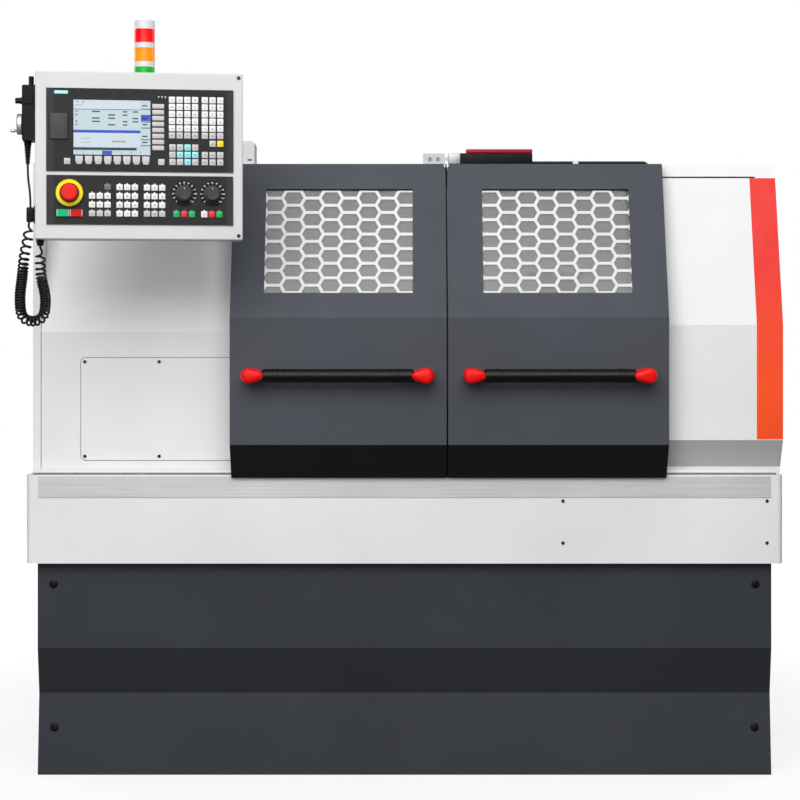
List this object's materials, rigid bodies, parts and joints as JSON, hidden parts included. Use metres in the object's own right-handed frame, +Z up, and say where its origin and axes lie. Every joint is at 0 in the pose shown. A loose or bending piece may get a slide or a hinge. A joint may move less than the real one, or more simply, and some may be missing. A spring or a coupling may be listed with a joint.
{
  "type": "cnc turning lathe",
  "caption": "Flat-bed turning lathe on a folded-sheet stand, with sliding guarded doors, a chip tray, a swivelling control pendant and a signal tower.",
  "frame": {"origin": "on the floor, under the middle of the stand", "axes": "+X along the spindle towards the tailstock, +Y away from the operator, +Z up"},
  "size_m": [1.84, 1.2896, 1.899],
  "materials": {
    "white_paint": "fine satin powder coat",
    "stand_paint": "textured dark powder coat",
    "door_paint": "textured grey powder coat",
    "trim_steel": "brushed lengthways",
    "casting": "painted casting with ground ways",
    "ground_steel": "turned and ground",
    "bearing_steel": "ground",
    "motor_black": "black enamel",
    "belt_rubber": "matt",
    "window_clear": "clear sheet",
    "guard_white": "satin powder coat",
    "handle_black": "fine grain, with red ends",
    "key_steel": "stamped",
    "switch_black": "moulded, with a red lid",
    "cable_black": "smooth jacket",
    "panel_grey": "fine moulded grain",
    "screen": "lit flat screen",
    "key_grey": "moulded caps",
    "cover_black": "moulded",
    "estop_red": "moulded",
    "start_green": "moulded",
    "stop_red": "moulded",
    "knob_black": "moulded",
    "wheel_metal": "turned",
    "tower_grey": "moulded",
    "lens_red": "clear coloured",
    "lens_amber": "clear coloured",
    "lens_green": "clear coloured"
  },
  "bodies": {
    "machine": {"base_stand": "stand_paint", "chip_tray": "white_paint", "trim_strip": "trim_steel", "bed": "casting", "headstock": "casting", "bearings": "bearing_steel", "headstock_cover": "white_paint", "end_cover": "white_paint", "access_panel": "white_paint", "tailstock_cover": "white_paint", "rear_guard": "white_paint", "door_rails": "white_paint", "drive_motors": "motor_black", "drive_belt": "belt_rubber", "electrical_cabinet": "white_paint", "signal_tower": "tower_grey", "lens_red": "lens_red", "lens_amber": "lens_amber", "lens_green": "lens_green", "pendant_arm": "white_paint"},
    "left_door": {"left_door": "door_paint", "left_window": "window_clear", "left_guard": "guard_white", "left_handle": "handle_black", "interlock_key": "key_steel"},
    "right_door": {"right_door": "door_paint", "right_window": "window_clear", "right_guard": "guard_white", "right_handle": "handle_black", "interlock_switch": "switch_black", "interlock_cable": "cable_black"},
    "pendant": {"pendant_housing": "white_paint", "control_panels": "panel_grey", "display_screen": "screen", "keypads": "key_grey", "mpg_body": "cover_black", "cord_reliefs": "cable_black", "mpg_cord": "cable_black", "mpg_coil": "cable_black"},
    "spindle": {"spindle": "ground_steel", "chuck": "ground_steel"},
    "cabinet_door": {"cabinet_door": "white_paint"},
    "chuck_jaw_1": {"chuck_jaw_1": "ground_steel"},
    "chuck_jaw_2": {"chuck_jaw_2": "ground_steel"},
    "chuck_jaw_3": {"chuck_jaw_3": "ground_steel"},
    "motor_pulley": {"motor_pulley": "ground_steel"},
    "carriage_screw": {"carriage_screw": "ground_steel"},
    "carriage": {"carriage": "casting"},
    "cross_slide": {"cross_slide": "ground_steel"},
    "tool_turret": {"tool_turret": "motor_black"},
    "tailstock": {"tailstock": "casting"},
    "quill": {"quill": "ground_steel"},
    "usb_cover": {"usb_cover": "cover_black"},
    "estop_button": {"estop_button": "estop_red"},
    "start_button": {"start_button": "start_green"},
    "stop_button": {"stop_button": "stop_red"},
    "feed_knob": {"feed_knob": "knob_black"},
    "spindle_knob": {"spindle_knob": "knob_black"},
    "mpg_wheel": {"mpg_wheel": "wheel_metal"},
    "mpg_selector": {"mpg_selector": "knob_black"}
  },
  "joints": [
    {"name": "left_door_slide", "type": "slide", "parent": "machine", "child": "left_door", "axis": [1, 0, 0], "range_m": [-0.4, 0]},
    {"name": "right_door_slide", "type": "slide", "parent": "machine", "child": "right_door", "axis": [1, 0, 0], "range_m": [0, 0.26]},
    {"name": "pendant_swivel", "type": "hinge", "parent": "machine", "child": "pendant", "pos_m": [-0.624, -0.53502, 1.561], "axis": [0, 0, 1], "range_deg": [-25, 30]},
    {"name": "cabinet_door_hinge", "type": "hinge", "parent": "machine", "child": "cabinet_door", "pos_m": [-0.886, 0.57, 0.754], "axis": [0, 0, 1], "range_deg": [0, 120]},
    {"name": "spindle_turn", "type": "hinge", "parent": "machine", "child": "spindle", "pos_m": [-0.316, 0, 1.045], "axis": [1, 0, 0], "continuous": true},
    {"name": "motor_turn", "type": "hinge", "parent": "machine", "child": "motor_pulley", "pos_m": [-0.88, 0.15, 1.33], "axis": [1, 0, 0], "continuous": true},
    {"name": "carriage_slide", "type": "slide", "parent": "machine", "child": "carriage", "axis": [1, 0, 0], "range_m": [-0.5, 0.1]},
    {"name": "carriage_screw_turn", "type": "hinge", "parent": "machine", "child": "carriage_screw", "pos_m": [-0.43, -0.205, 0.8], "axis": [1, 0, 0], "continuous": true},
    {"name": "cross_slide_travel", "type": "slide", "parent": "carriage", "child": "cross_slide", "axis": [0, 1, 0], "range_m": [-0.08, 0.06]},
    {"name": "turret_index", "type": "hinge", "parent": "cross_slide", "child": "tool_turret", "pos_m": [0.385, -0.12, 1.0006], "axis": [0, 0, 1], "continuous": true},
    {"name": "tailstock_slide", "type": "slide", "parent": "machine", "child": "tailstock", "axis": [1, 0, 0], "range_m": [-0.14, 0]},
    {"name": "quill_slide", "type": "slide", "parent": "tailstock", "child": "quill", "axis": [1, 0, 0], "range_m": [-0.09, 0]},
    {"name": "jaw_1_slide", "type": "slide", "parent": "spindle", "child": "chuck_jaw_1", "axis": [0, 0, 1], "range_m": [-0.008, 0.014]},
    {"name": "jaw_2_slide", "type": "slide", "parent": "spindle", "child": "chuck_jaw_2", "axis": [0, -0.866, -0.5], "range_m": [-0.008, 0.014]},
    {"name": "jaw_3_slide", "type": "slide", "parent": "spindle", "child": "chuck_jaw_3", "axis": [0, 0.866, -0.5], "range_m": [-0.008, 0.014]},
    {"name": "usb_cover_hinge", "type": "hinge", "parent": "pendant", "child": "usb_cover", "pos_m": [-0.80627, -0.68666, 1.55233], "axis": [0, 0, -1], "range_deg": [0, 100]},
    {"name": "estop_push", "type": "slide", "parent": "pendant", "child": "estop_button", "axis": [-0.1392, 0.9903, 0], "range_m": [0, 0.006]},
    {"name": "start_push", "type": "slide", "parent": "pendant", "child": "start_button", "axis": [-0.1392, 0.9903, 0], "range_m": [0, 0.004], "stiffness_N_per_m": 300},
    {"name": "stop_push", "type": "slide", "parent": "pendant", "child": "stop_button", "axis": [-0.1392, 0.9903, 0], "range_m": [0, 0.004], "stiffness_N_per_m": 300},
    {"name": "feed_knob_turn", "type": "hinge", "parent": "pendant", "child": "feed_knob", "pos_m": [-0.50656, -0.64272, 1.40039], "axis": [0.1392, -0.9903, 0], "range_deg": [-135, 135]},
    {"name": "spindle_knob_turn", "type": "hinge", "parent": "pendant", "child": "spindle_knob", "pos_m": [-0.44261, -0.63374, 1.40039], "axis": [0.1392, -0.9903, 0], "range_deg": [-135, 135]},
    {"name": "mpg_wheel_turn", "type": "hinge", "parent": "pendant", "child": "mpg_wheel", "pos_m": [-0.87628, -0.65126, 1.559], "axis": [-0.9903, -0.1392, 0], "continuous": true},
    {"name": "mpg_selector_turn", "type": "hinge", "parent": "pendant", "child": "mpg_selector", "pos_m": [-0.87628, -0.65126, 1.613], "axis": [-0.9903, -0.1392, 0], "range_deg": [-60, 60]}
  ],
  "couplings": [
    {"joint": "motor_turn", "follows": "spindle_turn", "ratio": 1.5},
    {"joint": "carriage_screw_turn", "follows": "carriage_slide", "rad_per_m": 628.32},
    {"joint": "jaw_2_slide", "follows": "jaw_1_slide", "ratio": 1},
    {"joint": "jaw_3_slide", "follows": "jaw_1_slide", "ratio": 1}
  ]
}
